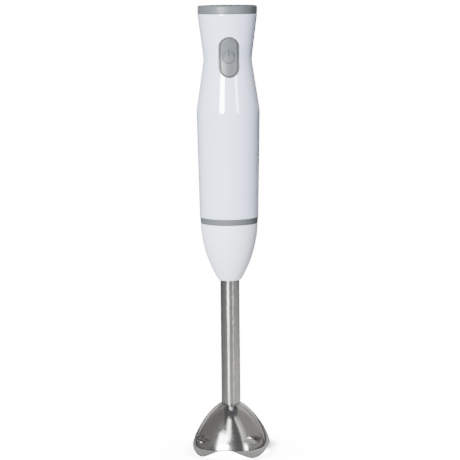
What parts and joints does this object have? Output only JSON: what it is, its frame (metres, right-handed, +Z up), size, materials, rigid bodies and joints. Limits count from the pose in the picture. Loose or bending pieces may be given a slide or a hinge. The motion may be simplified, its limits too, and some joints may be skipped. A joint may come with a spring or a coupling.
{
  "type": "immersion blender",
  "caption": "Upright hand blender: white waisted handle with an oval power button, grey lock ring, white cone, steel tube, lobed steel bell and a spinning blade.",
  "frame": {"origin": "centre of the plane that the four lobes of the bell stand on", "axes": "+Z up the tool's own axis towards the top cap; -Y is the front, where the power button is; +X is to the right of a viewer who faces the button"},
  "size_m": [0.0668, 0.0668, 0.38],
  "materials": {
    "gloss_white": "glossy white moulded plastic",
    "satin_white": "satin white moulded plastic",
    "trim_grey": "satin grey moulded plastic",
    "button_grey": "satin grey moulded plastic with a finger-worn sheen",
    "frame_grey": "darker grey moulded plastic",
    "inner_plastic": "plain moulded plastic of the mechanism",
    "black_plastic": "black moulded plastic",
    "bell_steel": "polished deep-drawn stainless steel",
    "tube_steel": "ground and polished stainless steel tube",
    "blade_steel": "ground stainless steel",
    "shaft_steel": "turned steel",
    "screw_steel": "zinc plated steel",
    "motor_steel": "drawn and plated steel can",
    "lamination": "stacked electrical steel",
    "ferrite": "dark sintered ferrite",
    "copper": "enamelled copper wire and bars",
    "bronze": "oil-filled sintered bronze",
    "brass": "stamped brass",
    "carbon": "pressed carbon",
    "rubber": "soft black rubber",
    "board_green": "green coated circuit board",
    "film_yellow": "yellow film capacitor case",
    "terminal_green": "green terminal block plastic",
    "lead_insulation": "coloured wire insulation"
  },
  "bodies": {
    "motor_unit": {"top_cap": "trim_grey", "front_shell": "gloss_white", "rear_shell": "gloss_white", "case_screws": "screw_steel", "button_frame": "frame_grey", "button_spring": "shaft_steel", "switch_body": "black_plastic", "circuit_board": "board_green", "board_screws": "screw_steel", "bridge_rectifier": "black_plastic", "suppression_capacitor": "film_yellow", "terminal_block": "terminal_green", "motor_leads": "lead_insulation", "cord_gland": "rubber", "upper_motor_mount": "rubber", "lower_motor_mount": "rubber", "motor_can": "motor_steel", "field_magnets": "ferrite", "brush_end_bell": "inner_plastic", "carbon_brushes": "carbon", "brush_springs": "shaft_steel", "motor_terminals": "brass", "upper_motor_bearing": "bronze", "lower_motor_bearing": "bronze", "leg_spigot": "inner_plastic"},
    "button": {"power_button": "button_grey"},
    "plunger": {"switch_plunger": "inner_plastic"},
    "rotor": {"motor_shaft": "shaft_steel", "armature_core": "lamination", "armature_windings": "copper", "commutator": "copper", "cooling_fan": "inner_plastic", "drive_dog": "black_plastic"},
    "collar": {"lock_ring": "trim_grey"},
    "leg": {"leg_cone": "satin_white", "leg_socket": "inner_plastic", "leg_tube": "tube_steel", "bell_guard": "bell_steel", "bearing_carrier": "black_plastic", "upper_shaft_bush": "bronze", "lower_shaft_bush": "bronze", "shaft_seal": "rubber"},
    "drive_line": {"drive_shaft": "shaft_steel", "dog_cup": "black_plastic", "thrust_washer": "brass", "blade_hub": "blade_steel", "blade": "blade_steel", "blade_rivet": "blade_steel"}
  },
  "joints": [
    {"name": "ring_twist", "type": "hinge", "parent": "motor_unit", "child": "collar", "pos_m": [0, 0, 0.201], "axis": [0, 0, 1], "range_deg": [0, 30]},
    {"name": "leg_pull", "type": "slide", "parent": "motor_unit", "child": "leg", "axis": [0, 0, -1], "range_m": [0, 0.03]},
    {"name": "motor_spin", "type": "hinge", "parent": "motor_unit", "child": "rotor", "pos_m": [0, 0, 0.24], "axis": [0, 0, 1], "continuous": true},
    {"name": "blade_spin", "type": "hinge", "parent": "leg", "child": "drive_line", "pos_m": [0, 0, 0.018], "axis": [0, 0, 1], "continuous": true},
    {"name": "button_press", "type": "slide", "parent": "motor_unit", "child": "button", "axis": [0, 1, 0], "range_m": [0, 0.0015], "stiffness_N_per_m": 800, "springref_m": -0.002, "deforming": ["button_spring"]},
    {"name": "plunger_press", "type": "slide", "parent": "motor_unit", "child": "plunger", "axis": [0, 1, 0], "range_m": [0, 0.0015]}
  ],
  "couplings": [
    {"joint": "blade_spin", "follows": "motor_spin", "ratio": 1},
    {"joint": "plunger_press", "follows": "button_press", "ratio": 1}
  ]
}
